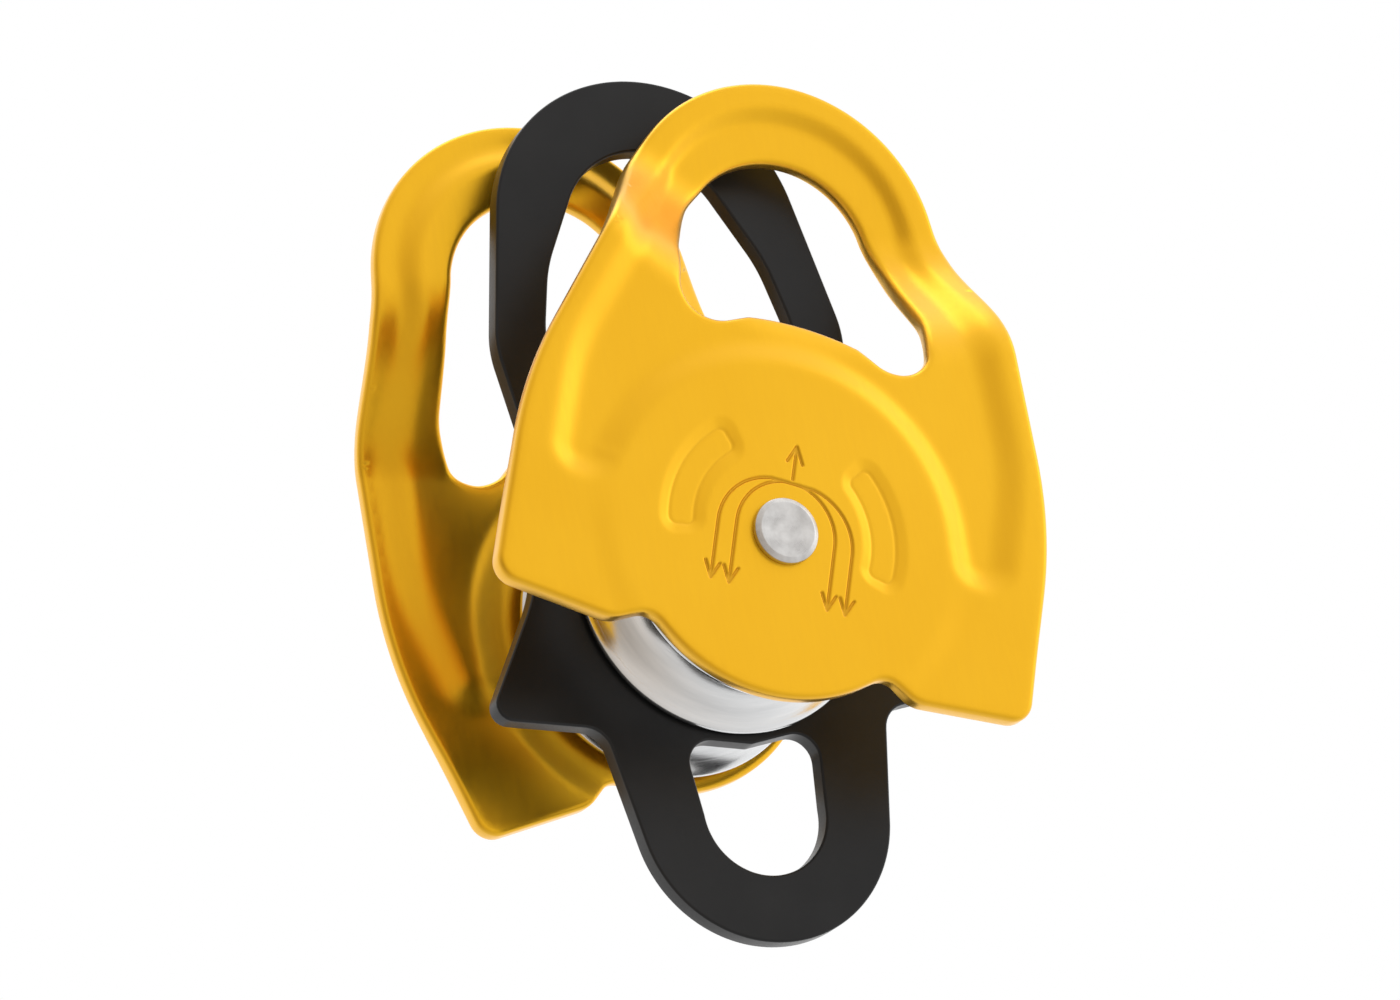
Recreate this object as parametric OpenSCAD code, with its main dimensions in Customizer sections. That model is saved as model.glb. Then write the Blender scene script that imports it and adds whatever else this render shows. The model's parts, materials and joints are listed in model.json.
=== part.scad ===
// Twin rope pulley: two ball-bearing sheaves side by side on one riveted axle, a flat
// centre plate with a carabiner eye and a becket, and two swinging side plates.
//
// Frame: X to the right, Y along the axle (the front is at -Y), Z up the centre plate.
// The origin is on the axle, at the middle of the centre plate. Lengths are in mm.

/* [Sheaves] */
// Radius of the rope tread at the bottom of the groove
tread_r = 19; // [17:0.5:21]
// Radius of the sheave's flanges
flange_r = 25.5; // [24:0.5:26]
// Width of a sheave over its flanges
sheave_w = 19; // [17:0.5:19.5]
// Gap between the centre plate and a sheave
sheave_gap = 0.6; // [0.4:0.1:1]

/* [Centre plate] */
// Thickness of the centre plate
centre_t = 3.6; // [3:0.2:5]
// Height of the top of the carabiner loop above the axle
centre_top = 87.4; // [84:0.2:92]
// Radius of the rope end hole's round seat in the becket
becket_r = 10.6; // [9:0.2:11]
// Depth of that seat's centre below the axle
becket_drop = 37.8; // [37.6:0.1:40]

/* [Side plates] */
// Thickness of a side plate
side_t = 3; // [2.4:0.2:3.4]
// Distance from the centre plane to a side plate's outer face at the axle
side_face = 26.6; // [26:0.1:28]
// Distance from the centre plane to the outer face of a side plate's loop
loop_face = 10.4; // [10:0.1:14]
// Height of the top of a side plate's loop above the axle
side_top = 86.3; // [84:0.2:88]
// Half of a side plate's width
side_half_w = 45.6; // [44:0.1:47]
// Depth of the pressed hollow between the dome and the rim
press_d = 1.6; // [0.8:0.1:2]
// Swing of the front plate from the centre plate, clockwise as seen from the front
front_swing = 19.2; // [-30:0.1:30]
// Swing of the back plate
back_swing = -17.6; // [-30:0.1:30]

/* [Axle and bearings] */
// Radius of the axle
axle_r = 4; // [3.5:0.1:4.5]
// Radius of the riveted heads
head_r = 5.4; // [5:0.1:7]
// Height of the riveted heads
head_h = 1.35; // [1:0.05:2]
// Outer radius of the bearings
bearing_r = 11; // [10.5:0.1:12]
// Width of the bearings
bearing_w = 11; // [9:0.5:12]
// Radius of the balls' pitch circle
ball_pitch_r = 7.5; // [7.3:0.1:7.7]
// Radius of a ball
ball_r = 1.98; // [1.8:0.02:2]
// Number of balls in a bearing
ball_count = 7; // [6:1:8]

/* [Hidden] */
$fn = 96;
running = 0.06;        // radial clearance of a turning fit
snug = 0.02;           // radial clearance of a fixed fit
race_clearance = 0.07; // between a ball and its raceway

centre_half = centre_t / 2;
sheave_in = centre_half + sheave_gap;
sheave_out = sheave_in + sheave_w;
sheave_mid = (sheave_in + sheave_out) / 2;
bearing_in = sheave_mid - bearing_w / 2;
bearing_out = sheave_mid + bearing_w / 2;
side_in = side_face - side_t;
washer_t = 0.9;
washer_gap = 0.1;
washer_out = side_in - washer_gap;
washer_in = washer_out - washer_t;
head_in = side_face + 0.05;
head_out = head_in + head_h;

inner_land_r = 6.1;
outer_land_r = 8.9;
spacer_r = 5.8;
shoulder_r = 9.8;
flange_edge = 1.2;     // thickness of a flange at its rim

dome_r = 30.6;         // foot of the side plate's dome
bulge_r = 27.1;        // edge of the side plate below the sheave
centre_eye_r = 15;

// Each leg of a side plate's loop is cranked inwards between these two heights, measured
// at the inner edge of the leg; the bend lines rise outwards at crank_tilt.
leg_x = 14;
joggle_low = 34.7;
joggle_high = 64.2;
crank_tilt = 20.8;

// ---- Outlines -------------------------------------------------------------------
// All outlines are drawn in X and Z: the right half from the top down, then mirrored.

function arc(cx, cz, r, from, to, steps) =
    [for (i = [0 : steps]) let (a = from + (to - from) * i / steps) [cx + r * cos(a), cz + r * sin(a)]];

function unit(v) = v / norm(v);

// The arc that rounds corner b, between a and c, to radius r
function corner(a, b, c, r, steps = 6) =
    let (
        u = unit([a[0] - b[0], a[1] - b[1]]),
        w = unit([c[0] - b[0], c[1] - b[1]]),
        half = acos(u * w) / 2,
        centre = [b[0], b[1]] + unit(u + w) * (r / sin(half)),
        start = [b[0], b[1]] + u * (r / tan(half)) - centre,
        turn = (u[0] * w[1] - u[1] * w[0] > 0 ? -1 : 1) * (180 - 2 * half),
        from = atan2(start[1], start[0])
    )
    [for (i = [0 : steps]) let (t = from + turn * i / steps) centre + r * [cos(t), sin(t)]];

// The inner points [x, z, r] of a path, each rounded to its own radius. The end points
// only give the direction of the first and the last side.
function rounded(p) = [for (i = [1 : len(p) - 2]) each corner(p[i - 1], p[i], p[i + 1], p[i][2])];

function mirrored(p) = concat(p, [for (i = [len(p) - 1 : -1 : 0]) if (p[i][0] > 0.01) [-p[i][0], p[i][1]]]);

centre_loop_r = 27;
centre_outline = mirrored(concat(
    arc(0, centre_top - centre_loop_r, centre_loop_r, 90, 12, 14),
    rounded([
        [26.5, 66], [31.2, 42, 18], [28.6, 24, 20], [31.5, 2, 30],
        [44.1, -19.7, 2.8], [24.9, -22.6, 4.5], [21.6, -41.1]
    ]),
    arc(0, -37.4, 21.9, -12, -90, 12)
));

centre_eye = mirrored(concat(
    arc(0, centre_top - 12.6 - centre_eye_r, centre_eye_r, 90, 25, 12),
    rounded([[13.6, 66.2], [19.4, 55, 25], [22, 44, 20], [22.2, 30, 6], [10, 32, 12], [0, 32]])
));

becket_hole = mirrored(concat(
    [[0, -26.8]],
    rounded([[0, -27], [11.9, -24.7, 4], [becket_r - 0.1, -becket_drop]]),
    [[becket_r - 0.1, -becket_drop]]
));

side_loop_r = 28;
side_outline = mirrored(concat(
    arc(0, side_top - side_loop_r, side_loop_r, 90, 25, 13),
    rounded([
        [25.4, 70.1], [28.6, 63.3, 25], [33.6, 50.2, 60],
        [side_half_w, 14.5, 70], [side_half_w, -19.8, 3.8],
        [26, -21.6, 6], [19.9, -18.8, 3.5], [17.1, -21.1]
    ]),
    arc(0, 0, bulge_r, -51, -90, 8)
));

side_eye_r = 16.4;
side_eye = mirrored(concat(
    arc(0, side_top - 13.8 - side_eye_r, side_eye_r, 90, 28, 12),
    rounded([
        [14.5, 63.8], [17.2, 59.3, 20], [21.2, 46.5, 14], [21.9, 33.9, 5.2],
        [14.6, 33.3, 6], [9.6, 36]
    ]),
    arc(0, 0, 37.3, 75, 90, 4)
));

press_loop_r = 22.5;
press_outline = mirrored(concat(
    arc(0, side_top - side_loop_r, press_loop_r, 90, 12, 14),
    rounded([[22.5, 62], [28.6, 48, 25], [37.9, 22, 40], [38.2, 1.6, 3.5], [dome_r, 1.6, 3.5], [dome_r - 0.1, 6]]),
    arc(0, 0, dome_r, 12, 90, 16)
));

// Distance of the outer face from the centre plane along a leg, at height z
function crank(z) =
    z < joggle_low ? side_face :
    z > joggle_high ? loop_face :
    side_face - (side_face - loop_face) * (1 - cos(180 * (z - joggle_low) / (joggle_high - joggle_low))) / 2;
function slope(z) = (crank(z + 0.1) - crank(z - 0.1)) / 0.2;

// A leg's section, Y against Z: the outer face, and an inner face side_t behind it, both
// moved inwards by inset. It is drawn square to the bend lines.
crank_heights = concat([-80], [for (i = [0 : 12]) joggle_low + (joggle_high - joggle_low) * i / 12], [130]);
function crank_section(inset) = let (squash = cos(crank_tilt)) concat(
    [for (z = crank_heights) [crank(z) - inset, z * squash]],
    [for (i = [len(crank_heights) - 1 : -1 : 0])
        let (z = crank_heights[i], n = unit([1, -slope(z)])) [crank(z) - inset - side_t * n[0], (z - side_t * n[1]) * squash]]
);

// ---- Helpers --------------------------------------------------------------------

// Sweeps an X-Z outline along Y, from y0 to y1
module plate(outline, y0, y1) {
    translate([0, y1, 0]) rotate([90, 0, 0]) linear_extrude(y1 - y0) polygon(outline);
}

// A solid of revolution about the axle. The profile is [radius, distance along Y].
module turned() {
    rotate([-90, 0, 0]) rotate_extrude() children();
}

module ring(r0, r1, y0, y1) {
    turned() polygon([[r0, y0], [r1, y0], [r1, y1], [r0, y1]]);
}

// Parts are drawn on the +Y side, and the front ones are their mirror image
module on_side(front) {
    if (front) mirror([0, 1, 0]) children();
    else children();
}

// ---- Sub-parts ------------------------------------------------------------------

module centre_plate() {
    color([0.12, 0.12, 0.13])
    difference() {
        plate(centre_outline, -centre_half, centre_half);
        plate(centre_eye, -10, 10);
        plate(becket_hole, -10, 10);
        translate([0, 10, -becket_drop]) rotate([90, 0, 0]) cylinder(r = becket_r, h = 20);
        translate([0, 10, 0]) rotate([90, 0, 0]) cylinder(r = axle_r + snug, h = 20);
    }
}

module axle() {
    color([0.75, 0.75, 0.76])
    turned()
    polygon([
        [0, -head_out + 0.15], [2.2, -head_out + 0.1], [head_r - 0.7, -head_out], [head_r - 0.2, -head_out + 0.15],
        [head_r, -head_out + 0.5], [head_r, -head_in], [axle_r, -head_in],
        [axle_r, head_in], [head_r, head_in], [head_r, head_out - 0.5],
        [head_r - 0.2, head_out - 0.15], [head_r - 0.7, head_out], [2.2, head_out - 0.1], [0, head_out - 0.15]
    ]);
}

// The bent sheet a side plate is cut from: flat between the legs, cranked along each leg
module cranked_sheet(inset) {
    for (side = [0, 1])
        mirror([side, 0, 0])
        intersection() {
            translate([leg_x, 0, 0]) rotate([0, -crank_tilt, 0])
                translate([-60, 0, 0]) rotate([90, 0, 90]) linear_extrude(120) polygon(crank_section(inset));
            translate([leg_x, 0, -60]) cube([60, 60, 180]);
        }
    translate([-leg_x, side_face - side_t - inset, -60]) cube([2 * leg_x, side_t, 110]);
    translate([-leg_x, loop_face - side_t - inset, 50]) cube([2 * leg_x, side_t, 60]);
}

module side_plate(front, swing) {
    color([0.93, 0.62, 0.06])
    on_side(front)
    rotate([0, swing, 0])
    difference() {
        union() {
            intersection() {
                cranked_sheet(0);
                difference() {
                    plate(side_outline, 5, 30);
                    plate(press_outline, 0, 40);
                }
            }
            intersection() {
                cranked_sheet(press_d);
                plate(press_outline, 5, 30);
            }
        }
        plate(side_eye, 0, 40);
        translate([0, 40, 0]) rotate([90, 0, 0]) cylinder(r = axle_r + running, h = 40);
    }
}

module thrust_washer(front) {
    color([0.9, 0.9, 0.86]) on_side(front) ring(axle_r + snug, 8, washer_in, washer_out);
}

module outer_spacer(front) {
    color([0.7, 0.7, 0.72]) on_side(front) ring(axle_r + snug, spacer_r, bearing_out, washer_in);
}

module inner_spacer(front) {
    color([0.7, 0.7, 0.72]) on_side(front) ring(axle_r + snug, spacer_r, centre_half, bearing_in);
}

// The groove is one arc from flange to flange, through the tread
module sheave(front) {
    groove_half = sheave_w / 2 - flange_edge;
    depth = flange_r - tread_r;
    groove_r = (groove_half * groove_half + depth * depth) / (2 * depth);
    reach = asin(groove_half / groove_r);
    lip = 0.3;
    color([0.85, 0.86, 0.87])
    on_side(front)
    turned()
    polygon(concat(
        [[shoulder_r, sheave_in], [flange_r - lip, sheave_in], [flange_r, sheave_in + lip]],
        [for (i = [0 : 16]) let (a = -reach + 2 * reach * i / 16)
            [tread_r + groove_r - groove_r * cos(a), sheave_mid + groove_r * sin(a)]],
        [[flange_r, sheave_out - lip], [flange_r - lip, sheave_out], [bearing_r, sheave_out],
         [bearing_r, bearing_in], [shoulder_r, bearing_in]]
    ));
}

module bearing_outer_ring(front) {
    color([0.6, 0.62, 0.64])
    on_side(front)
    turned()
    difference() {
        translate([outer_land_r, bearing_in]) square([bearing_r - outer_land_r, bearing_w]);
        translate([ball_pitch_r, sheave_mid]) circle(r = ball_r + race_clearance, $fn = 48);
    }
}

module bearing_inner_ring(front) {
    color([0.6, 0.62, 0.64])
    on_side(front)
    turned()
    difference() {
        translate([axle_r + snug, bearing_in]) square([inner_land_r - axle_r - snug, bearing_w]);
        translate([ball_pitch_r, sheave_mid]) circle(r = ball_r + race_clearance, $fn = 48);
    }
}

module at_balls() {
    for (i = [0 : ball_count - 1])
        rotate([0, 360 * i / ball_count, 0]) translate([ball_pitch_r, sheave_mid, 0]) children();
}

module bearing_balls(front) {
    color([0.8, 0.8, 0.82]) on_side(front) at_balls() sphere(r = ball_r, $fn = 48);
}

module bearing_cage(front) {
    cage_half_w = 2.7;
    color([0.55, 0.42, 0.25])
    on_side(front)
    difference() {
        ring(6.7, 8.3, sheave_mid - cage_half_w, sheave_mid + cage_half_w);
        at_balls() translate([-3, 0, 0]) rotate([0, 90, 0]) cylinder(r = ball_r + 0.1, h = 6, $fn = 48);
    }
}

// A seal closes one face of the bearing, from the outer ring's land to just clear of the inner ring
module bearing_seal(front, y0) {
    seal_t = 0.7;
    color([0.1, 0.1, 0.1]) on_side(front) ring(inner_land_r + 0.1, outer_land_r, y0, y0 + seal_t);
}

inner_seal_y = bearing_in + 0.1;
outer_seal_y = bearing_out - 0.8;

centre_plate();
axle();
side_plate(true, front_swing);  // front_side_plate
side_plate(false, back_swing);  // back_side_plate
thrust_washer(true);  // front_thrust_washer
thrust_washer(false);  // back_thrust_washer
outer_spacer(true);  // front_outer_spacer
outer_spacer(false);  // back_outer_spacer
inner_spacer(true);  // front_inner_spacer
inner_spacer(false);  // back_inner_spacer
sheave(true);  // front_sheave
sheave(false);  // back_sheave
bearing_outer_ring(true);  // front_bearing_outer_ring
bearing_inner_ring(true);  // front_bearing_inner_ring
bearing_balls(true);  // front_bearing_balls
bearing_cage(true);  // front_bearing_cage
bearing_seal(true, inner_seal_y);  // front_bearing_inner_seal
bearing_seal(true, outer_seal_y);  // front_bearing_outer_seal
bearing_outer_ring(false);  // back_bearing_outer_ring
bearing_inner_ring(false);  // back_bearing_inner_ring
bearing_balls(false);  // back_bearing_balls
bearing_cage(false);  // back_bearing_cage
bearing_seal(false, inner_seal_y);  // back_bearing_inner_seal
bearing_seal(false, outer_seal_y);  // back_bearing_outer_seal
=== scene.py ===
import json
import math
import bpy
import numpy as np
from mathutils import Matrix, Vector
from mathutils.geometry import delaunay_2d_cdt


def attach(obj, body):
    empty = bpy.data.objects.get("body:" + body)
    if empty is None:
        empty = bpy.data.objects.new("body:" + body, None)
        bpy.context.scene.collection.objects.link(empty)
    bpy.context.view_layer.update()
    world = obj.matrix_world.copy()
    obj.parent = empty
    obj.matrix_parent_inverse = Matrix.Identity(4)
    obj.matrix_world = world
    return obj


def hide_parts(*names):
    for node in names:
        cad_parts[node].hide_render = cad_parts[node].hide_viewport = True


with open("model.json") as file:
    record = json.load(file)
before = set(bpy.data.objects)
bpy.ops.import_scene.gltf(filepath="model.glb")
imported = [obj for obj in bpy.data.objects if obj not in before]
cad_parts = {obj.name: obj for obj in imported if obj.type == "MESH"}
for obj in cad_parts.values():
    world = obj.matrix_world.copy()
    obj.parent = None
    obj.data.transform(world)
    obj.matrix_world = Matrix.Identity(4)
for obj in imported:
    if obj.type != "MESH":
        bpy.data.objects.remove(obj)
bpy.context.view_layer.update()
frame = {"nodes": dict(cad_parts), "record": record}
cad = frame["nodes"]
MM = 0.001

# ---- Sizes, in mm: X to the right, Y along the axle, Z up each plate ------------------

SIDE_TOP, SIDE_LOOP_R = 86.3, 28
SIDE_HALF_W, SIDE_CORNER_Z = 45.6, -19.8
SIDE_BULGE_R = 27.1
SIDE_EYE_R, SIDE_EYE_Z, SIDE_EYE_FLOOR_R = 16.4, 56.1, 37.3
HOLLOW_LOOP_R, DOME_R = 22.5, 30.6
CENTRE_LOOP_R, CENTRE_LOOP_Z = 27, 60.4
CENTRE_EYE_R, CENTRE_EYE_Z, CENTRE_EYE_FLOOR = 15, 59.8, 32
CENTRE_HALF_T, CENTRE_BORE_R = 1.8, 4.02
BECKET_R, BECKET_Z = 21.9, -37.4
BECKET_HOLE_R, BECKET_HOLE_Z = 10.6, -37.8
SIDE_BORE_R = 4.06
SIDE_T = 3.0
SIDE_FACE, LOOP_FACE = 26.6, 10.4  # the outer face's height, on the plate and on its loop
CRANK_START, CRANK_RUN = 39.7, 31.7
HOLLOW_DEPTH = 1.6
SWING = {"front": 19.2, "back": -17.6}  # the side plates' turn at rest, in degrees
SIDE_OF = {"front": -1, "back": 1}

# ---- Outlines ---------------------------------------------------------------------------


def arc(cx, cz, r, start, end, steps):
    turns = [math.radians(start + (end - start) * i / steps) for i in range(steps + 1)]
    return [(cx + r * math.cos(t), cz + r * math.sin(t)) for t in turns]


def corner(a, b, c, r, steps=14):
    """The round stretch, of radius r, that takes the place of corner b."""
    a, b, c = (np.array(p[:2], float) for p in (a, b, c))
    u, w = (a - b) / np.linalg.norm(a - b), (c - b) / np.linalg.norm(c - b)
    half = math.acos(float(u @ w)) / 2
    centre = b + (u + w) / np.linalg.norm(u + w) * (r / math.sin(half))
    start = b + u * (r / math.tan(half)) - centre
    turn = (math.pi - 2 * half) * (-1 if u[0] * w[1] - u[1] * w[0] > 0 else 1)
    first = math.atan2(start[1], start[0])
    turns = [first + turn * i / steps for i in range(steps + 1)]
    return [(centre[0] + r * math.cos(t), centre[1] + r * math.sin(t)) for t in turns]


def rounded(path):
    """Corners given as (x, z, radius), between two plain end points that only give directions."""
    out = []
    for a, b, c in zip(path, path[1:], path[2:]):
        out += corner(a, b, c, b[2])
    return out


def mirrored(half):
    return half + [(-x, z) for x, z in reversed(half) if x > 0.01]


side_shoulder = [(25.4, 70.1), (28.6, 63.3, 25), (33.6, 50.2, 60), (SIDE_HALF_W, 14.5, 70)]
side_foot = [(SIDE_HALF_W, SIDE_CORNER_Z, 3.8), (26, -21.6, 6), (19.9, -18.8, 3.5), (17.1, -21.1)]
side_rim = mirrored(
    arc(0, SIDE_TOP - SIDE_LOOP_R, SIDE_LOOP_R, 90, 25, 28)
    + rounded(side_shoulder + side_foot)
    + arc(0, 0, SIDE_BULGE_R, -51, -90, 20)
)
side_eye_cheek = [(14.5, 63.8), (17.2, 59.3, 20), (21.2, 46.5, 14)]
side_eye_lobe = [(21.9, 33.9, 5.2), (14.6, 33.3, 6), (9.6, 36)]
side_eye = mirrored(
    arc(0, SIDE_EYE_Z, SIDE_EYE_R, 90, 28, 24)
    + rounded(side_eye_cheek + side_eye_lobe)
    + arc(0, 0, SIDE_EYE_FLOOR_R, 75, 90, 8)
)
hollow_leg = [(22.5, 62), (28.6, 48, 25), (37.9, 22, 40)]
hollow_end = [(38.2, 1.6, 3.5), (DOME_R, 1.6, 3.5), (30.5, 6)]
hollow_rim = mirrored(
    arc(0, SIDE_TOP - SIDE_LOOP_R, HOLLOW_LOOP_R, 90, 12, 24)
    + rounded(hollow_leg + hollow_end)
    + arc(0, 0, DOME_R, 12, 90, 40)
)
centre_waist = [(26.5, 66), (31.2, 42, 18), (28.6, 24, 20), (31.5, 2, 30)]
centre_foot = [(44.1, -19.7, 2.8), (24.9, -22.6, 4.5), (21.6, -41.1)]
centre_rim = mirrored(
    arc(0, CENTRE_LOOP_Z, CENTRE_LOOP_R, 90, 12, 30)
    + rounded(centre_waist + centre_foot)
    + arc(0, BECKET_Z, BECKET_R, -12, -90, 30)
)
centre_eye_cheek = [(13.6, 66.2), (19.4, 55, 25), (22, 44, 20), (22.2, 30, 6)]
centre_eye = mirrored(
    arc(0, CENTRE_EYE_Z, CENTRE_EYE_R, 90, 25, 24)
    + rounded(centre_eye_cheek + [(10, CENTRE_EYE_FLOOR, 12), (0, CENTRE_EYE_FLOOR)])
)
becket_hole = mirrored(
    [(0, -26.8)]
    + rounded([(0, -27), (11.9, -24.7, 4), (BECKET_HOLE_R, BECKET_HOLE_Z)])
    + arc(0, BECKET_HOLE_Z, BECKET_HOLE_R, 0, -90, 30)
)


def even(loop, step):
    """The closed loop again, with its points spaced evenly."""
    p = np.array(loop + loop[:1], float)
    run = np.concatenate([[0], np.cumsum(np.linalg.norm(np.diff(p, axis=0), axis=1))])
    at = np.linspace(0, run[-1], int(run[-1] / step) + 1)[:-1]
    return np.c_[np.interp(at, run, p[:, 0]), np.interp(at, run, p[:, 1])]


def inward(loop):
    """Unit normals towards the left of the loop's own direction."""
    t = np.roll(loop, -2, 0) - np.roll(loop, 2, 0)
    n = np.c_[-t[:, 1], t[:, 0]]
    return n / np.linalg.norm(n, axis=1)[:, None]


def area(loop):
    x, z = loop[:, 0], loop[:, 1]
    return float(np.sum(x * np.roll(z, -1) - np.roll(x, -1) * z) / 2)


def turned_to(loop, ccw):
    return loop if (area(loop) > 0) == ccw else loop[::-1]


BATCH = 4000  # points measured at a time, to keep the arrays small


def distance(p, line, closed=True):
    """Distance from each point to a line of short straight pieces."""
    a = np.asarray(line, float)
    b = np.roll(a, -1, 0)
    if not closed:
        a, b = a[:-1], b[:-1]
    out = np.empty(len(p))
    ab = b - a
    length = np.maximum((ab**2).sum(1), 1e-12)
    for i in range(0, len(p), BATCH):
        q = p[i : i + BATCH, None, :] - a[None]
        t = np.clip((q * ab[None]).sum(2) / length, 0, 1)
        out[i : i + BATCH] = np.sqrt(((q - t[..., None] * ab[None]) ** 2).sum(2).min(1))
    return out


def inside(p, loop):
    a = np.asarray(loop, float)
    b = np.roll(a, -1, 0)
    out = np.empty(len(p), bool)
    for i in range(0, len(p), BATCH):
        x, z = p[i : i + BATCH, 0][:, None], p[i : i + BATCH, 1][:, None]
        cross = (a[:, 1] > z) != (b[:, 1] > z)
        with np.errstate(divide="ignore", invalid="ignore"):
            at = (b[:, 0] - a[:, 0]) * (z - a[:, 1]) / (b[:, 1] - a[:, 1]) + a[:, 0]
        out[i : i + BATCH] = (cross & (x < at)).sum(1) % 2 == 1
    return out


def ease(t):
    t = np.clip(t, 0, 1)
    return t * t * (3 - 2 * t)


def from_axle(p):
    return np.hypot(p[:, 0], p[:, 1])


# ---- The side plates' stamped relief ----------------------------------------------------

PANEL_R, PANEL_HALF_W, PANEL_CORNER = 17.3, 4.0, 3.1
PANEL_AT, PANEL_HALF_SPAN = math.radians(70.3), math.radians(36.7)
PANEL_DEPTH, PANEL_SLOPE, PANEL_SOFTNESS = 0.5, 1.9, 0.07
PANEL_LINE_DEPTH, PANEL_LINE_AT, PANEL_LINE_HALF_W = 0.12, 1.95, 0.22
MARK_DEPTH, MARK_HALF_W, MARK_MIDDLE = 0.32, 0.25, 0.3
MARKS_REACH = 26  # no mark is farther from the axle


def panel_inset(p):
    """Distance inside the nearer of two sunk panels, each a piece of a ring, corners rounded."""
    turn = np.abs(np.arctan2(np.abs(p[:, 0]), p[:, 1]) - PANEL_AT)
    u = turn * PANEL_R - (PANEL_HALF_SPAN * PANEL_R - PANEL_CORNER)
    v = np.abs(from_axle(p) - PANEL_R) - (PANEL_HALF_W - PANEL_CORNER)
    past_corner = np.hypot(np.maximum(u, 0), np.maximum(v, 0))
    return PANEL_CORNER - past_corner - np.minimum(np.maximum(u, v), 0)


def arrow(tip, heading, size=3.1):
    a = math.radians(heading)
    return [
        [tip, (tip[0] - size * math.sin(a + s), tip[1] - size * math.cos(a + s))]
        for s in (math.radians(25), -math.radians(25))
    ]


def rope_path(side):
    """One rope over the axle: a leg, half a turn and the other leg."""
    rise = arc(-2.1, -0.8, 9.4, 180, 100, 20)
    fall = arc(-0.4, -0.1, 8.8, 78, 0, 20)
    line = [(-11.5, -10.5)] + rise + fall + [(8.4, -10.5)]
    return [(side * x + MARK_MIDDLE, z) for x, z in line]


marks = [rope_path(1), rope_path(-1), [(MARK_MIDDLE, 9.2), (MARK_MIDDLE, 14.7)]]
marks += arrow((MARK_MIDDLE, 14.9), 0)
for x in (-11.2, -8.1, 8.7, 11.8):
    marks += arrow((x, -10.8), 180, 2.9)


def from_marks(p):
    return np.min([distance(p, mark, False) for mark in marks], 0)


def crank(p):
    """Height of the outer face, before the hollow: the loop is cranked towards the middle."""
    bent = p[:, 1] - 0.008 * (p[:, 0] ** 2 - 1024)
    t = np.clip((bent - CRANK_START) / CRANK_RUN, 0, 1)
    return SIDE_FACE - (SIDE_FACE - LOOP_FACE) * (1 - np.cos(np.pi * t)) / 2


def hollow(p, widen=0.0):
    """Depth of the hollow; its slope is narrower up on the loop."""
    d = distance(p, hollow_rim) * np.where(inside(p, hollow_rim), 1, -1)
    half = 2.9 - 1.3 * ease((p[:, 1] - 46) / 22) + widen
    return HOLLOW_DEPTH * ease((d + half) / (2 * half))


def corners(p):
    """The two lower corners, a little nearer the middle than the round part between them."""
    return 0.35 * ease((from_axle(p) - 28.2) / 4.8) * ease((4 - p[:, 1]) / 14)


def outer_face(p):
    return crank(p) - hollow(p) - corners(p)


def inner_relief(p):
    return hollow(p, 0.7) + 2.8 * corners(p)


def near_axle(p, measure):
    """measure() where the marks are, nothing elsewhere."""
    out = np.zeros(len(p))
    near = from_axle(p) < MARKS_REACH
    out[near] = measure(p[near])
    return out


def panel_depth(q):
    """A slope down to the panel's floor, softened at both ends."""
    t = panel_inset(q) / PANEL_SLOPE
    k = PANEL_SOFTNESS
    return PANEL_DEPTH * np.clip(
        k * (np.logaddexp(0, t / k) - np.logaddexp(0, (t - 1) / k)), 0, 1
    )


def line_depth(q):
    """The engraved marks, and the fine groove along each panel's floor."""
    lines = MARK_DEPTH * np.exp(-((from_marks(q) / MARK_HALF_W) ** 4))
    off_groove = (panel_inset(q) - PANEL_LINE_AT) / PANEL_LINE_HALF_W
    return np.maximum(lines, PANEL_LINE_DEPTH * np.exp(-(off_groove**2)))


# ---- The side plates' mesh --------------------------------------------------------------


def grid(step, low, high):
    """Points in even triangles."""
    rows = np.arange(low[1], high[1], step * 0.866)
    return np.array(
        [
            (x + (step / 2 if i % 2 else 0), z)
            for i, z in enumerate(rows)
            for x in np.arange(low[0], high[0], step)
        ]
    )


def spread_points(loops, size, patches):
    """Points over the plate: a wide mesh, with finer patches where the marks are."""
    low, high = np.min([l.min(0) for l in loops], 0), np.max([l.max(0) for l in loops], 0)
    parts = [grid(size, low, high)]
    for step, patch_low, patch_high, keep in patches:
        finer = grid(step, patch_low, patch_high)
        parts = [p[~keep(p)] for p in parts] + [finer[keep(finer)]]
    return np.concatenate(parts)


RIM_STEP, HOLE_STEP = 0.55, 0.5
ROUNDING = (0, 0.05, 0.17, 0.36, 0.64, 1.0)  # places across an edge's round, as shares of it
RING_GAP = 0.5  # clear space between the last ring and the first point of the wide mesh


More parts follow.
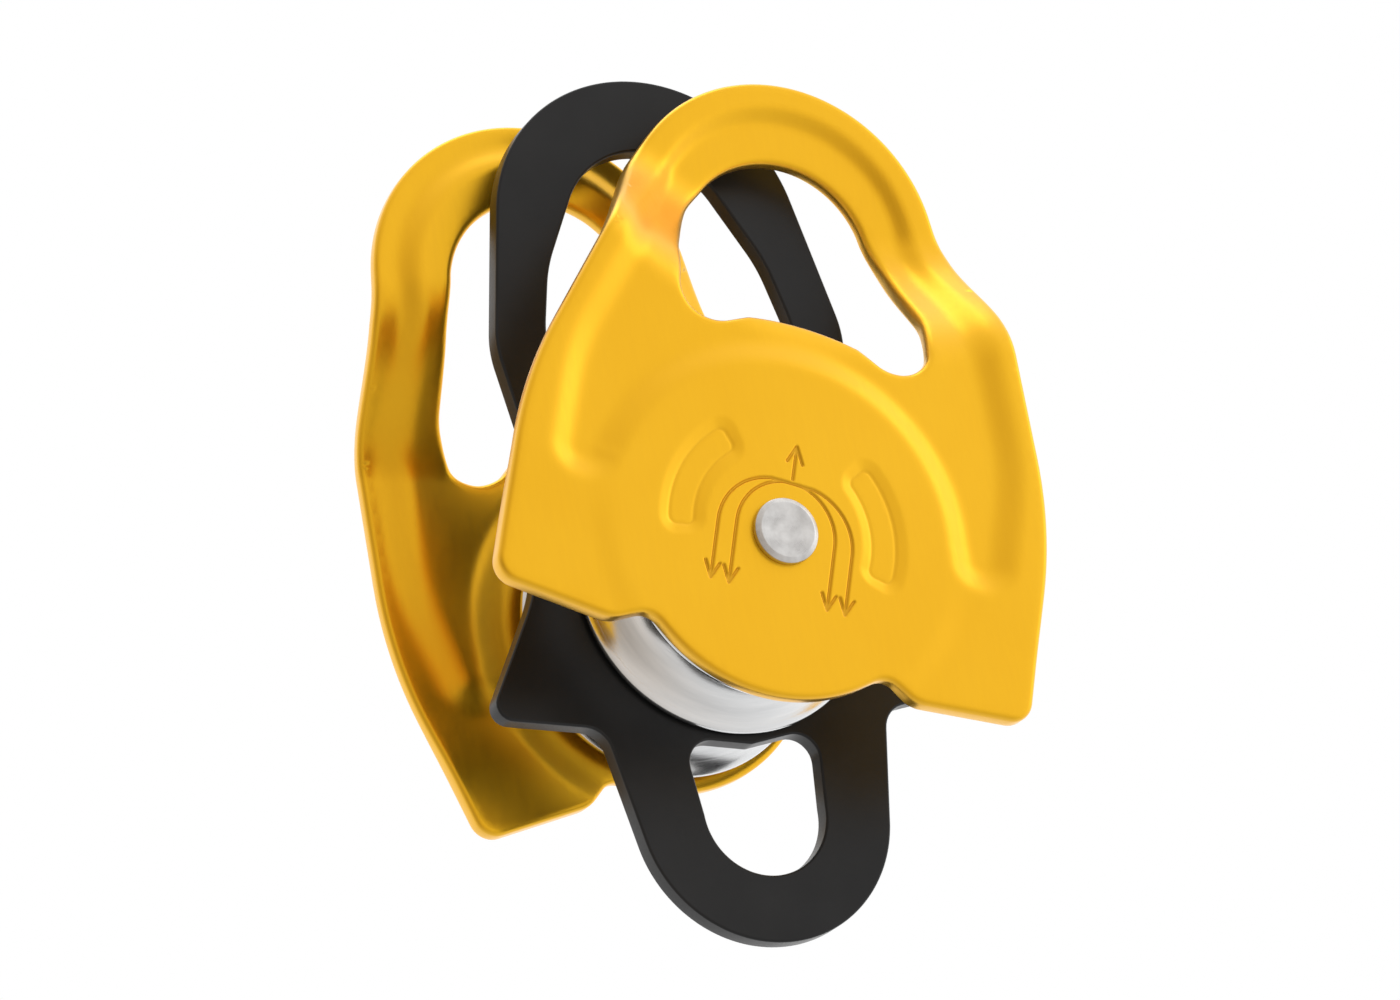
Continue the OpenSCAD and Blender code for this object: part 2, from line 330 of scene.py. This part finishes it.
def skin(rim, holes, size, patches, edge):
    """The flat mesh of a plate: its points, triangles, and the rings along each edge."""
    loops = [turned_to(even(rim, RIM_STEP), True)]
    loops += [turned_to(even(h, HOLE_STEP), False) for h in holes]
    verts, rings, drop = [], [], []
    for loop, radius in zip(loops, edge):
        n = inward(loop)
        rows = []
        for share in ROUNDING:
            o = share * radius
            rows.append(range(len(verts), len(verts) + len(loop)))
            verts += [tuple(v) for v in loop + n * o]
            drop += [radius - math.sqrt(radius**2 - (radius - o) ** 2)] * len(loop)
        rings.append(rows)
    last = [np.array([verts[i] for i in rows[-1]]) for rows in rings]
    p = spread_points(last, size, patches)
    p = p[inside(p, last[0])]
    for h in last[1:]:
        p = p[~inside(p, h)]
    for l in last:
        p = p[distance(p, l) > RING_GAP]
    ids, edges = [], []
    for rows in rings:
        base = len(ids)
        ids += list(rows[-1])
        edges += [(base + i, base + (i + 1) % len(rows[-1])) for i in range(len(rows[-1]))]
    flat = [Vector(verts[i]) for i in ids] + [Vector(q) for q in p]
    out = delaunay_2d_cdt(flat, edges, [], 0, 1e-7)
    first = len(verts)
    verts += [tuple(q) for q in p]
    drop += [0.0] * len(p)
    number = {}
    for new, old in enumerate(out[3]):
        number[new] = ids[old[0]] if old[0] < len(ids) else first + old[0] - len(ids)
    tris = np.array([[number[i] for i in f] for f in out[2]])
    xz = np.array(verts)
    mid = xz[tris].mean(1)
    kept = inside(mid, last[0])
    for h in last[1:]:
        kept &= ~inside(mid, h)
    # Along a ring the side is certain from the ring's own direction, even for a sliver.
    after = {a: b for rows in rings for a, b in zip(rows[-1], [*rows[-1][1:], rows[-1][0]])}
    for t, (a, b, c) in enumerate(tris.tolist()):
        for u, v in ((a, b), (b, c), (c, a)):
            if after.get(u) == v:
                kept[t] = True
            elif after.get(v) == u:
                kept[t] = False
    near_edge = np.min([distance(xz, l) for l in loops], 0)
    return xz, tris[kept], rings, np.array(drop), near_edge


def normal_to(face, p, e=0.04):
    dx = (face(p + [e, 0]) - face(p - [e, 0])) / (2 * e)
    dz = (face(p + [0, e]) - face(p - [0, e])) / (2 * e)
    n = np.c_[-dx, np.ones(len(p)), -dz]
    return n / np.linalg.norm(n, axis=1)[:, None]


def swung(points, degrees, front):
    """From a plate's own X, outward and Z into the frame."""
    a = math.radians(degrees)
    x, y, z = points.T
    return np.c_[
        x * math.cos(a) + z * math.sin(a),
        -y if front else y,
        -x * math.sin(a) + z * math.cos(a),
    ]


def only(piece):
    bpy.ops.object.select_all(action="DESELECT")
    piece.select_set(True)
    bpy.context.view_layer.objects.active = piece


def face_outward():
    """Turn the active piece's faces outward; it is left in object mode."""
    bpy.ops.mesh.select_all(action="SELECT")
    bpy.ops.mesh.normals_make_consistent(inside=False)
    bpy.ops.object.mode_set(mode="OBJECT")


def sheet(name, flat, degrees, front):
    """A side plate from its flat mesh, in its place in the frame."""
    xz, tris, rings, drop, near_edge = flat
    lines = near_axle(xz, line_depth)
    struck = near_axle(xz, panel_depth) + lines
    top = np.c_[xz[:, 0], outer_face(xz), xz[:, 1]]
    top -= normal_to(outer_face, xz) * (drop + struck)[:, None]
    low = np.c_[xz[:, 0], crank(xz), xz[:, 1]]
    low -= normal_to(crank, xz) * (SIDE_T - drop * 0.8)[:, None]
    low[:, 1] -= inner_relief(xz)
    k = len(xz)
    faces = [(int(a), int(c), int(b)) for a, b, c in tris]
    faces += [(int(a) + k, int(b) + k, int(c) + k) for a, b, c in tris]
    for rows in rings:
        m = len(rows[0])
        for r0, r1 in zip(rows[:-1], rows[1:]):
            for i in range(m):
                j = (i + 1) % m
                faces.append((r0[i], r1[i], r1[j], r0[j]))
                faces.append((r0[i] + k, r0[j] + k, r1[j] + k, r1[i] + k))
        for i in range(m):
            j = (i + 1) % m
            faces.append((rows[0][i], rows[0][j], rows[0][j] + k, rows[0][i] + k))
    mesh = bpy.data.meshes.new(name)
    verts = swung(np.concatenate([top, low]), degrees, front) * MM
    mesh.from_pydata([tuple(v) for v in verts], [], faces)
    mesh.update()
    rub = np.tile(np.exp(-((near_edge / 0.6) ** 2)), 2)
    # How deep each point lies in a mark or a panel's fine groove; the gold finish darkens these
    # places as painted shade
    engraved = np.concatenate([lines / MARK_DEPTH, lines * 0])
    for label, values in (("edge_rub", rub), ("engraved", engraved)):
        layer = mesh.attributes.new(label, "FLOAT", "POINT")
        layer.data.foreach_set("value", values.astype(np.float32))
    piece = bpy.data.objects.new(name, mesh)
    bpy.context.scene.collection.objects.link(piece)
    only(piece)
    bpy.ops.object.mode_set(mode="EDIT")
    face_outward()
    bpy.ops.object.shade_smooth()
    return piece


# ---- Pieces -------------------------------------------------------------------------------


def near_panel_slope(q):
    return np.abs(panel_inset(q) - 1) < 1.6


def near_mark(q):
    return from_marks(q) < 0.75


mesh_size = 0.8
patches = [
    (0.28, (-25, -12), (25, 24), near_panel_slope),
    (0.15, (-15, -13), (15, 17), near_mark),
]
side_bore = arc(0, 0, SIDE_BORE_R, 0, 360, 60)[:-1]
side_flat = skin(side_rim, [side_eye, side_bore], mesh_size, patches, (1.0, 1.1, 0.3))

shown = []  # each visible piece with the slot of its finish
for which, degrees in SWING.items():
    plate = sheet(f"{which}_stamped_plate", side_flat, degrees, which == "front")
    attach(plate, f"{which}_side")
    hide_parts(f"{which}_side_plate")
    shown.append((plate, "gold_plate"))


def cut_blank(name, outline, half_height):
    """A blank: an outline drawn on a disc's rim, then extruded along the axle."""
    bpy.ops.object.select_all(action="DESELECT")
    bpy.ops.mesh.primitive_circle_add(vertices=len(outline), fill_type="NGON")
    blank = bpy.context.object
    blank.name = blank.data.name = name
    for v, (x, z) in zip(blank.data.vertices, outline):
        v.co = (x * MM, -half_height * MM, z * MM)
    bpy.ops.object.mode_set(mode="EDIT")
    bpy.ops.mesh.select_all(action="SELECT")
    rise = (0, 2 * half_height * MM, 0)
    bpy.ops.mesh.extrude_region_move(TRANSFORM_OT_translate={"value": rise})
    face_outward()
    return blank


CUTTER_HALF = 5
centre = cut_blank("centre_cheek", turned_to(even(centre_rim, 0.8), True), CENTRE_HALF_T)
centre_bore = arc(0, 0, CENTRE_BORE_R, 0, 360, 64)[:-1]
for name, outline in (
    ("eye_cutter", turned_to(even(centre_eye, 0.8), True)),
    ("becket_cutter", turned_to(even(becket_hole, 0.7), True)),
    ("axle_cutter", centre_bore),
):
    cutter = cut_blank(name, outline, CUTTER_HALF)
    only(centre)
    cut = centre.modifiers.new("cut", "BOOLEAN")
    cut.operation, cut.object, cut.solver = "DIFFERENCE", cutter, "EXACT"
    bpy.ops.object.modifier_apply(modifier=cut.name)
    bpy.data.objects.remove(cutter)
edge = centre.modifiers.new("edge", "BEVEL")
edge.width, edge.segments = 0.42 * MM, 3
edge.limit_method, edge.angle_limit = "ANGLE", math.radians(50)
edge.use_clamp_overlap = False
bpy.ops.object.modifier_apply(modifier=edge.name)
bpy.ops.object.shade_smooth_by_angle(angle=math.radians(40))
weigh = centre.modifiers.new("weigh", "WEIGHTED_NORMAL")
weigh.keep_sharp = True
bpy.ops.object.modifier_apply(modifier=weigh.name)
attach(centre, "centre")
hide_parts("centre_plate")
shown.append((centre, "black_plate"))


def lathe(name, profile, steps):
    """A turned piece: a closed profile of (radius, place along the axle), spun about the axle."""
    bpy.ops.object.select_all(action="DESELECT")
    bpy.ops.mesh.primitive_circle_add(vertices=len(profile), fill_type="NOTHING")
    piece = bpy.context.object
    piece.name = piece.data.name = name
    for v, (r, y) in zip(piece.data.vertices, profile):
        v.co = (r * MM, y * MM, 0)
    bpy.ops.object.mode_set(mode="EDIT")
    bpy.ops.mesh.select_all(action="SELECT")
    bpy.ops.mesh.spin(steps=steps, angle=2 * math.pi, center=(0, 0, 0), axis=(0, 1, 0))
    bpy.ops.mesh.select_all(action="SELECT")
    bpy.ops.mesh.remove_doubles(threshold=1e-6)
    face_outward()
    bpy.ops.object.shade_smooth_by_angle(angle=math.radians(28))
    return piece


def fillet(profile, steps=5):
    """A closed profile of (radius, place along the axle, fillet), with its corners rounded."""
    out = []
    for i, (r, y, round_r) in enumerate(profile):
        if round_r:
            out += corner(profile[i - 1], (r, y), profile[(i + 1) % len(profile)], round_r, steps)
        else:
            out.append((r, y))
    return out


SHEAVE_MID, SHEAVE_HALF_W = 11.9, 9.5
TREAD_R, FLANGE_R, BEARING_R, SHOULDER_R = 19, 25.5, 11.0, 9.8
GROOVE_HALF_W, GROOVE_DEPTH = SHEAVE_HALF_W - 1.2, 6.5
SHEAVE_IN, SHEAVE_OUT, BEARING_SEAT = 2.4, 21.4, 6.4  # its faces, from the middle of the pulley
WEB_DIP = 0.5  # each face is turned down between its hub and its rim


def groove_arc():
    r = (GROOVE_HALF_W**2 + GROOVE_DEPTH**2) / (2 * GROOVE_DEPTH)
    reach = math.degrees(math.asin(GROOVE_HALF_W / r))
    turns = [math.radians(a) for a in np.linspace(-reach, reach, 45)]
    return [(TREAD_R + r - r * math.cos(t), SHEAVE_MID + r * math.sin(t)) for t in turns]


def sheave_profile(side):
    groove = groove_arc()
    (tip_r, tip_in), (_, tip_out) = groove[0], groove[-1]
    towards_middle = [
        (SHOULDER_R, BEARING_SEAT, 0),
        (SHOULDER_R, SHEAVE_IN, 0.3),
        (13.2, SHEAVE_IN, 0.2),
        (13.8, SHEAVE_IN + WEB_DIP, 0.3),
        (21.6, SHEAVE_IN + WEB_DIP, 0.3),
        (22.2, SHEAVE_IN, 0.2),
        (FLANGE_R, SHEAVE_IN, 0.5),
        (tip_r, tip_in, 0),
    ]
    towards_plate = [
        (tip_r, tip_out, 0),
        (FLANGE_R, SHEAVE_OUT, 0.5),
        (22.2, SHEAVE_OUT, 0.2),
        (21.6, SHEAVE_OUT - WEB_DIP, 0.3),
        (13.8, SHEAVE_OUT - WEB_DIP, 0.3),
        (13.2, SHEAVE_OUT, 0.2),
        (BEARING_R, SHEAVE_OUT, 0.3),
        (BEARING_R, BEARING_SEAT, 0),
        (SHOULDER_R, BEARING_SEAT, 0),
    ]
    lip_in = [(FLANGE_R, tip_in - 0.35), (FLANGE_R - 0.14, tip_in - 0.08)]
    lip_out = [(FLANGE_R - 0.14, tip_out + 0.08), (FLANGE_R, tip_out + 0.35)]
    body = fillet(towards_middle)[:-1] + lip_in + groove[1:-1] + lip_out
    body += fillet(towards_plate)[1:-1]
    return [(r, side * y) for r, y in body]


for which, side in SIDE_OF.items():
    wheel = lathe(f"{which}_turned_sheave", sheave_profile(side), 144)
    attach(wheel, f"{which}_wheel")
    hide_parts(f"{which}_sheave")
    shown.append((wheel, "sheave_metal"))

HEAD_R, HEAD_SEAT, SHANK_R = 5.4, 26.65, 4.0
head = fillet(
    [
        (0, 27.78, 0),
        (2.6, 27.84, 4),
        (4.55, 28.0, 0.35),
        (HEAD_R, 27.55, 0.3),
        (HEAD_R, HEAD_SEAT, 0.12),
        (SHANK_R, HEAD_SEAT, 0),
    ]
)
axle_line = [(r, -y) for r, y in head] + [(r, y) for r, y in reversed(head)]
rivet = lathe("riveted_axle", axle_line, 96)
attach(rivet, "centre")
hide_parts("axle")
shown.append((rivet, "axle_steel"))

# ---- Finishes -----------------------------------------------------------------------------


class Finish:
    """A small helper to lay out one finish's shader nodes."""

    def __init__(self, name, colour, metallic, roughness):
        self.material = bpy.data.materials.new(name)
        self.material.use_nodes = True
        self.tree = self.material.node_tree
        self.shader = self.tree.nodes["Principled BSDF"]
        self.set("Base Color", (*colour, 1))
        self.set("Metallic", metallic)
        self.set("Roughness", roughness)
        self.place = self.tree.nodes.new("ShaderNodeTexCoord")

    def set(self, socket, value):
        self.shader.inputs[socket].default_value = value

    def drive(self, socket, value):
        self.link(value, self.shader.inputs[socket])

    def link(self, a, b):
        self.tree.links.new(a, b)

    def node(self, kind, **values):
        n = self.tree.nodes.new(kind)
        for k, v in values.items():
            if k in n.inputs:
                n.inputs[k].default_value = v
            else:
                setattr(n, k, v)
        return n

    def math(self, operation, *values):
        n = self.node("ShaderNodeMath", operation=operation)
        for i, v in enumerate(values):
            if isinstance(v, (int, float)):
                n.inputs[i].default_value = v
            else:
                self.link(v, n.inputs[i])
        return n.outputs[0]

    def where(self, scale=(1, 1, 1)):
        n = self.node("ShaderNodeMapping", Scale=scale)
        self.link(self.place.outputs["Object"], n.inputs["Vector"])
        return n.outputs["Vector"]

    def around(self, radial, along, angular=0.0):
        """Coordinates about the axle: radius, place along it, and angle, each scaled."""
        apart = self.node("ShaderNodeSeparateXYZ")
        self.link(self.place.outputs["Object"], apart.inputs[0])
        x, y, z = (apart.outputs[letter] for letter in "XYZ")
        squares = self.math("ADD", self.math("MULTIPLY", x, x), self.math("MULTIPLY", z, z))
        out = self.node("ShaderNodeCombineXYZ")
        radius = self.math("SQRT", squares)
        self.link(self.math("MULTIPLY", radius, radial), out.inputs["X"])
        self.link(self.math("MULTIPLY", y, along), out.inputs["Y"])
        if angular:
            angle = self.math("ARCTAN2", z, x)
            self.link(self.math("MULTIPLY", angle, angular), out.inputs["Z"])
        return out.outputs[0]

    def noise(self, vector, scale, detail=3.0, rough=0.55):
        n = self.node("ShaderNodeTexNoise", Scale=scale, Detail=detail, Roughness=rough)
        self.link(vector, n.inputs["Vector"])
        return n.outputs["Fac"]

    def span(self, value, low, high, out_low, out_high):
        """value, from low..high to out_low..out_high."""
        n = self.node("ShaderNodeMapRange")
        ends = {"From Min": low, "From Max": high, "To Min": out_low, "To Max": out_high}
        for k, v in ends.items():
            n.inputs[k].default_value = v
        self.link(value, n.inputs["Value"])
        return n.outputs["Result"]

    def mix(self, factor, a, b):
        n = self.node("ShaderNodeMix", data_type="RGBA")
        self.link(factor, n.inputs["Factor"])
        for i, v in ((6, a), (7, b)):
            if isinstance(v, tuple):
                n.inputs[i].default_value = (*v, 1)
            else:
                self.link(v, n.inputs[i])
        return n.outputs[2]

    def bump(self, *heights):
        normal = None
        for value, strength, depth in heights:
            b = self.node("ShaderNodeBump", Strength=strength, Distance=depth)
            self.link(value, b.inputs["Height"])
            if normal:
                self.link(normal, b.inputs["Normal"])
            normal = b.outputs["Normal"]
        self.drive("Normal", normal)

    def attribute(self, name):
        return self.node("ShaderNodeAttribute", attribute_name=name).outputs["Fac"]


def gold_anodised():
    f = Finish("gold_anodised", (0.92, 0.48, 0.006), 0.9, 0.32)
    tone = f.noise(f.where(), 26, 3)
    grain = f.noise(f.where((1400, 1400, 200)), 1.0, 2)
    fine = f.noise(f.where(), 1500, 2)
    colour = f.mix(f.span(tone, 0.3, 0.7, 0, 1), (0.90, 0.475, 0.004), (0.93, 0.51, 0.008))
    colour = f.mix(f.span(grain, 0.3, 0.7, 0, 0.05), colour, (0.7, 0.33, 0.004))
    rubbed = f.span(f.attribute("edge_rub"), 0.6, 1.0, 0, 0.12)
    colour = f.mix(rubbed, colour, (0.98, 0.66, 0.2))
    # Painted shade: the engraved marks and the fine groove on each panel's floor are darkened, as
    # if shaded inside them
    cut = f.span(f.attribute("engraved"), 0.1, 0.9, 0, 0.6)
    colour = f.mix(cut, colour, (0.55, 0.25, 0.003))
    f.drive("Base Color", colour)
    rough = f.span(tone, 0.25, 0.75, 0.29, 0.34)
    f.drive("Roughness", f.math("ADD", rough, f.span(grain, 0.3, 0.7, -0.02, 0.03)))
    f.bump((fine, 0.05, 0.00002))
    f.set("Specular IOR Level", 0.35)
    f.set("Coat Weight", 0.35)
    f.set("Coat Roughness", 0.36)
    f.set("Coat IOR", 1.5)
    return f.material


def black_anodised():
    f = Finish("black_anodised", (0.014, 0.014, 0.0145), 0.5, 0.42)
    tone = f.noise(f.where(), 40, 4)
    darker, lighter = (0.009, 0.009, 0.0095), (0.017, 0.017, 0.0175)
    f.drive("Base Color", f.mix(f.span(tone, 0.3, 0.7, 0, 1), darker, lighter))
    grit = f.noise(f.where(), 2600, 2)
    rough = f.span(tone, 0.25, 0.75, 0.31, 0.4)
    f.drive("Roughness", f.math("ADD", rough, f.span(grit, 0.3, 0.7, -0.03, 0.04)))
    f.bump((grit, 0.16, 0.00004))
    return f.material


def machined_aluminium():
    f = Finish("machined_aluminium", (0.83, 0.84, 0.85), 1.0, 0.2)
    rings = f.noise(f.around(5200, 5200), 1.0, 3, 0.7)
    wide = f.noise(f.around(700, 700, 1.5), 1.0, 3)
    darker, lighter = (0.76, 0.77, 0.78), (0.88, 0.885, 0.89)
    f.drive("Base Color", f.mix(f.span(wide, 0.3, 0.7, 0, 1), darker, lighter))
    rough = f.span(rings, 0.3, 0.7, 0.14, 0.26)
    f.drive("Roughness", f.math("ADD", rough, f.span(wide, 0.3, 0.7, -0.03, 0.04)))
    f.bump((rings, 0.22, 0.00003))
    return f.material


def brushed_rivet():
    f = Finish("brushed_rivet", (0.62, 0.61, 0.6), 1.0, 0.32)
    rings = f.noise(f.around(4200, 4200, 0.6), 1.0, 3, 0.6)
    blot = f.noise(f.where(), 420, 3)
    darker, lighter = (0.52, 0.51, 0.5), (0.70, 0.69, 0.68)
    f.drive("Base Color", f.mix(f.span(blot, 0.32, 0.68, 0, 1), darker, lighter))
    rough = f.span(rings, 0.3, 0.7, 0.26, 0.4)
    f.drive("Roughness", f.math("ADD", rough, f.span(blot, 0.3, 0.7, -0.04, 0.05)))
    f.bump((rings, 0.25, 0.00004), (blot, 0.05, 0.0001))
    return f.material


def plain_metal(name, darker, lighter, roughness, around, tone_scale, tone_detail, bump):
    """Bare metal with fine turning or grinding lines about the axle."""
    f = Finish(name, darker, 1.0, sum(roughness) / 2)
    lines = f.noise(f.around(*around), 1.0, 2)
    tone = f.noise(f.where(), tone_scale, tone_detail)
    f.drive("Base Color", f.mix(tone, darker, lighter))
    f.drive("Roughness", f.span(lines, 0.3, 0.7, *roughness))
    f.bump((lines, *bump))
    return f.material


def moulded(name, darker, lighter, rough, scale):
    f = Finish(name, darker, 0.0, rough)
    tone = f.noise(f.where(), scale, 4)
    grit = f.noise(f.where(), scale * 9, 2)
    f.drive("Base Color", f.mix(tone, darker, lighter))
    f.drive("Roughness", f.span(grit, 0.3, 0.7, rough - 0.07, rough + 0.08))
    f.bump((grit, 0.15, 0.00005))
    return f.material


finish_of = {
    "gold_plate": gold_anodised(),
    "black_plate": black_anodised(),
    "sheave_metal": machined_aluminium(),
    "axle_steel": brushed_rivet(),
    "bearing_steel": plain_metal(
        "ground_steel",
        (0.54, 0.55, 0.57),
        (0.67, 0.68, 0.7),
        roughness=(0.1, 0.22),
        around=(6000, 6000, 0.4),
        tone_scale=160,
        tone_detail=2,
        bump=(0.1, 0.00002),
    ),
    "spacer_steel": plain_metal(
        "turned_spacer",
        (0.42, 0.42, 0.43),
        (0.6, 0.6, 0.6),
        roughness=(0.22, 0.38),
        around=(2600, 2600),
        tone_scale=200,
        tone_detail=3,
        bump=(0.3, 0.00004),
    ),
    "washer_plastic": moulded(
        "acetal_washer", (0.72, 0.7, 0.64), (0.86, 0.84, 0.78), rough=0.45, scale=260
    ),
    "cage_plastic": moulded(
        "polyamide_cage", (0.34, 0.24, 0.12), (0.46, 0.33, 0.18), rough=0.5, scale=300
    ),
    "seal_rubber": moulded(
        "seal_rubber", (0.018, 0.018, 0.019), (0.04, 0.04, 0.042), rough=0.62, scale=400
    ),
}
inner = [(cad[part["node"]], part["material_slot"]) for part in frame["record"]["subparts"]]
for piece, slot in inner + shown:
    piece.data.materials.clear()
    piece.data.materials.append(finish_of[slot])

# ---- Stage, light and camera ----------------------------------------------------------------

FLOOR_SIZE, FLOOR_Z = 8, -1.0
bpy.ops.mesh.primitive_plane_add(size=1, location=(0, 0, FLOOR_Z))
floor = bpy.context.object
floor.name = "floor"
floor.scale = (FLOOR_SIZE, FLOOR_SIZE, 1)
floor.visible_glossy = False
paint = bpy.data.materials.new("floor")
paint.use_nodes = True
paint.node_tree.nodes["Principled BSDF"].inputs["Base Color"].default_value = (0.93, 0.93, 0.93, 1)
paint.node_tree.nodes["Principled BSDF"].inputs["Roughness"].default_value = 0.9
floor.data.materials.append(paint)

LAMPS_AIM = Vector((0, 0, 0.01))


def softbox(name, at, size, power):
    lamp = bpy.data.lights.new(name, "AREA")
    lamp.shape, lamp.size, lamp.size_y, lamp.energy = "RECTANGLE", size[0], size[1], power
    o = bpy.data.objects.new(name, lamp)
    o.location = at
    o.rotation_euler = (LAMPS_AIM - Vector(at)).to_track_quat("-Z", "Y").to_euler()
    bpy.context.scene.collection.objects.link(o)


softbox("key", (1.0, -0.42, 0.42), (0.5, 0.8), 0.75)
softbox("top", (0.1, 0.1, 1.1), (0.8, 0.5), 1.5)

# The studio: light graded about one direction, a little dimmer from below, white to the camera.
GRADED_ABOUT = Vector((-0.8, -0.57, 0.02)).normalized()
GRADES = (  # place from behind that direction to along it, brightness, share of blue
    (0.0, 1.3, 1.0),
    (0.28, 1.2, 1.0),
    (0.56, 1.0, 0.98),
    (0.75, 0.9, 0.92),
    (0.87, 0.78, 0.84),
    (1.0, 0.45, 0.75),
)
world = bpy.data.worlds.new("studio")
world.use_nodes = True
nodes, links = world.node_tree.nodes, world.node_tree.links


def ranged(value, **ends):
    n = nodes.new("ShaderNodeMapRange")
    for socket, end in ends.items():
        n.inputs[socket.replace("_", " ").title()].default_value = end
    links.new(value, n.inputs["Value"])
    return n.outputs["Result"]


where = nodes.new("ShaderNodeTexCoord")
dot = nodes.new("ShaderNodeVectorMath")
dot.operation = "DOT_PRODUCT"
dot.inputs[1].default_value = GRADED_ABOUT
links.new(where.outputs["Generated"], dot.inputs[0])
ramp = nodes.new("ShaderNodeValToRGB")
links.new(ranged(dot.outputs["Value"], from_min=-1, from_max=1), ramp.inputs["Fac"])
for _ in GRADES[2:]:
    ramp.color_ramp.elements.new(0.5)
for stop, (at, bright, cool) in zip(ramp.color_ramp.elements, GRADES):
    stop.position, stop.color = at, (bright, bright * (1 + cool) / 2, bright * cool, 1)
apart = nodes.new("ShaderNodeSeparateXYZ")
links.new(where.outputs["Generated"], apart.inputs[0])
dim = nodes.new("ShaderNodeVectorMath")
dim.operation = "SCALE"
links.new(ramp.outputs["Color"], dim.inputs[0])
below = ranged(apart.outputs["Z"], from_min=-0.75, from_max=-0.05, to_min=0.75, to_max=1.0)
links.new(below, dim.inputs["Scale"])
seen = nodes.new("ShaderNodeLightPath")
pick = nodes.new("ShaderNodeMix")
pick.data_type = "RGBA"
links.new(seen.outputs["Is Camera Ray"], pick.inputs["Factor"])
links.new(dim.outputs["Vector"], pick.inputs[6])
pick.inputs[7].default_value = (1, 1, 1, 1)
links.new(pick.outputs[2], nodes["Background"].inputs["Color"])
scene = bpy.context.scene
scene.world = world
scene.view_settings.view_transform = "Standard"

# The camera looks at the axle's middle from AWAY, then moves BESIDE and ABOVE in its own plane.
AZIMUTH, ELEVATION, ROLL = (math.radians(a) for a in (-26.9865, -16.4236, -11.1968))
AWAY, BESIDE, ABOVE = 0.86197, -0.0026394, 0.0139395
LENS, SENSOR = 138.56, 36
level = math.cos(ELEVATION)
back = Vector((math.sin(AZIMUTH) * level, -math.cos(AZIMUTH) * level, math.sin(ELEVATION)))
flat_right = Vector((math.cos(AZIMUTH), math.sin(AZIMUTH), 0))
flat_up = back.cross(flat_right)
right = math.cos(ROLL) * flat_right + math.sin(ROLL) * flat_up
up = -math.sin(ROLL) * flat_right + math.cos(ROLL) * flat_up
camera = bpy.data.cameras.new("camera")
camera.lens, camera.sensor_width = LENS, SENSOR
camera.clip_start, camera.clip_end = 0.05, 20
shot = bpy.data.objects.new("camera", camera)
scene.collection.objects.link(shot)
turn = Matrix((right, up, back)).transposed().to_4x4()
shot.matrix_world = Matrix.Translation(back * AWAY + right * BESIDE + up * ABOVE) @ turn
scene.camera = shot

bpy.context.view_layer.update()
